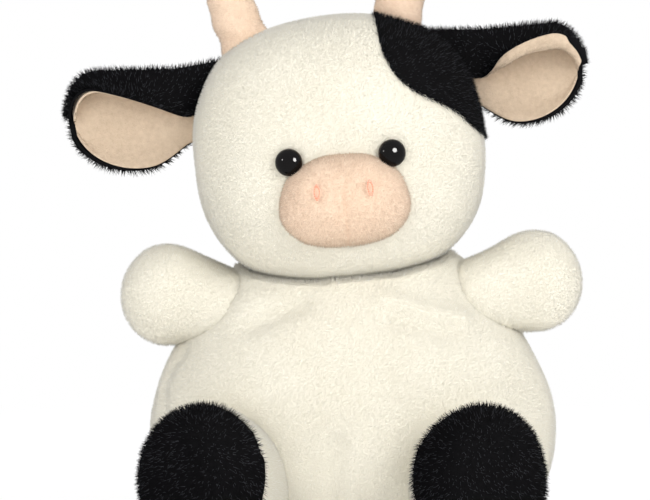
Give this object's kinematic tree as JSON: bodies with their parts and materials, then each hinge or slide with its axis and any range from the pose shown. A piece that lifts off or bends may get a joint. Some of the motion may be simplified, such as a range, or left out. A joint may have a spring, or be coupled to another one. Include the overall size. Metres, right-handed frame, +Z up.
{
  "type": "plush cow",
  "caption": "Seated stuffed toy cow with white plush skin, black patch, ears and hooves, peach muzzle and horns, and limbs that swing at their seams.",
  "frame": {"origin": "middle of the flat seat under the torso, on the surface that the toy sits on", "axes": "+Z up, the toy faces -Y, and its own left is +X"},
  "size_m": [0.2396, 0.2233, 0.2769],
  "materials": {
    "white_plush": "matte",
    "black_plush": "matte",
    "peach_plush": "matte",
    "stuffing": "matte",
    "pellet_cloth": "matte",
    "nostril_thread": "satin",
    "eye_plastic": "gloss",
    "washer_plastic": "matte"
  },
  "bodies": {
    "torso": {"torso_skin": "white_plush", "torso_stuffing": "stuffing", "pellet_bag": "pellet_cloth"},
    "neck": {"neck_stuffing": "stuffing"},
    "head": {"head_skin": "white_plush", "head_patch": "black_plush", "head_stuffing": "stuffing", "muzzle_skin": "peach_plush", "muzzle_stuffing": "stuffing", "nostril_left": "nostril_thread", "nostril_right": "nostril_thread", "eye_left": "eye_plastic", "eye_right": "eye_plastic", "eye_washer_left": "washer_plastic", "eye_washer_right": "washer_plastic", "horn_left": "peach_plush", "horn_right": "peach_plush", "horn_stuffing_left": "stuffing", "horn_stuffing_right": "stuffing"},
    "ear_left": {"ear_back_left": "black_plush", "ear_lining_left": "peach_plush"},
    "ear_right": {"ear_back_right": "black_plush", "ear_lining_right": "peach_plush"},
    "arm_left": {"arm_skin_left": "white_plush", "arm_stuffing_left": "stuffing"},
    "arm_right": {"arm_skin_right": "white_plush", "arm_stuffing_right": "stuffing"},
    "leg_left": {"leg_sleeve_left": "white_plush", "hoof_left": "black_plush", "leg_stuffing_left": "stuffing"},
    "leg_right": {"leg_sleeve_right": "white_plush", "hoof_right": "black_plush", "leg_stuffing_right": "stuffing"},
    "tail": {"tail": "white_plush", "tail_tuft": "black_plush"}
  },
  "joints": [
    {"name": "head_turn", "type": "hinge", "parent": "torso", "child": "neck", "pos_m": [-0.0065, 0, 0.17], "axis": [0, 0, 1], "range_deg": [-20, 20], "stiffness_Nm_per_rad": 0.3},
    {"name": "head_nod", "type": "hinge", "parent": "neck", "child": "head", "pos_m": [-0.0065, 0, 0.17], "axis": [1, 0, 0], "range_deg": [-8, 8], "stiffness_Nm_per_rad": 0.4},
    {"name": "ear_left_flop", "type": "hinge", "parent": "head", "child": "ear_left", "pos_m": [0.05873, 0, 0.21661], "axis": [0, -1, 0], "range_deg": [-8, 20], "stiffness_Nm_per_rad": 0.04},
    {"name": "ear_right_flop", "type": "hinge", "parent": "head", "child": "ear_right", "pos_m": [-0.07858, 0, 0.19891], "axis": [0, 1, 0], "range_deg": [-8, 20], "stiffness_Nm_per_rad": 0.04},
    {"name": "arm_left_raise", "type": "hinge", "parent": "torso", "child": "arm_left", "pos_m": [0.062, 0, 0.109], "axis": [0, -1, 0], "range_deg": [-8, 20], "stiffness_Nm_per_rad": 0.06},
    {"name": "arm_right_raise", "type": "hinge", "parent": "torso", "child": "arm_right", "pos_m": [-0.062, 0, 0.109], "axis": [0, 1, 0], "range_deg": [-8, 20], "stiffness_Nm_per_rad": 0.06},
    {"name": "leg_left_lift", "type": "hinge", "parent": "torso", "child": "leg_left", "pos_m": [0.043, -0.035, 0.0263], "axis": [-0.9703, -0.2419, 0], "range_deg": [0, 15], "stiffness_Nm_per_rad": 0.12},
    {"name": "leg_right_lift", "type": "hinge", "parent": "torso", "child": "leg_right", "pos_m": [-0.043, -0.035, 0.0263], "axis": [-0.8829, 0.4695, 0], "range_deg": [0, 15], "stiffness_Nm_per_rad": 0.12},
    {"name": "tail_swing", "type": "hinge", "parent": "torso", "child": "tail", "pos_m": [0, 0.06069, 0.042], "axis": [0, 0, 1], "range_deg": [-25, 25], "stiffness_Nm_per_rad": 0.02}
  ]
}
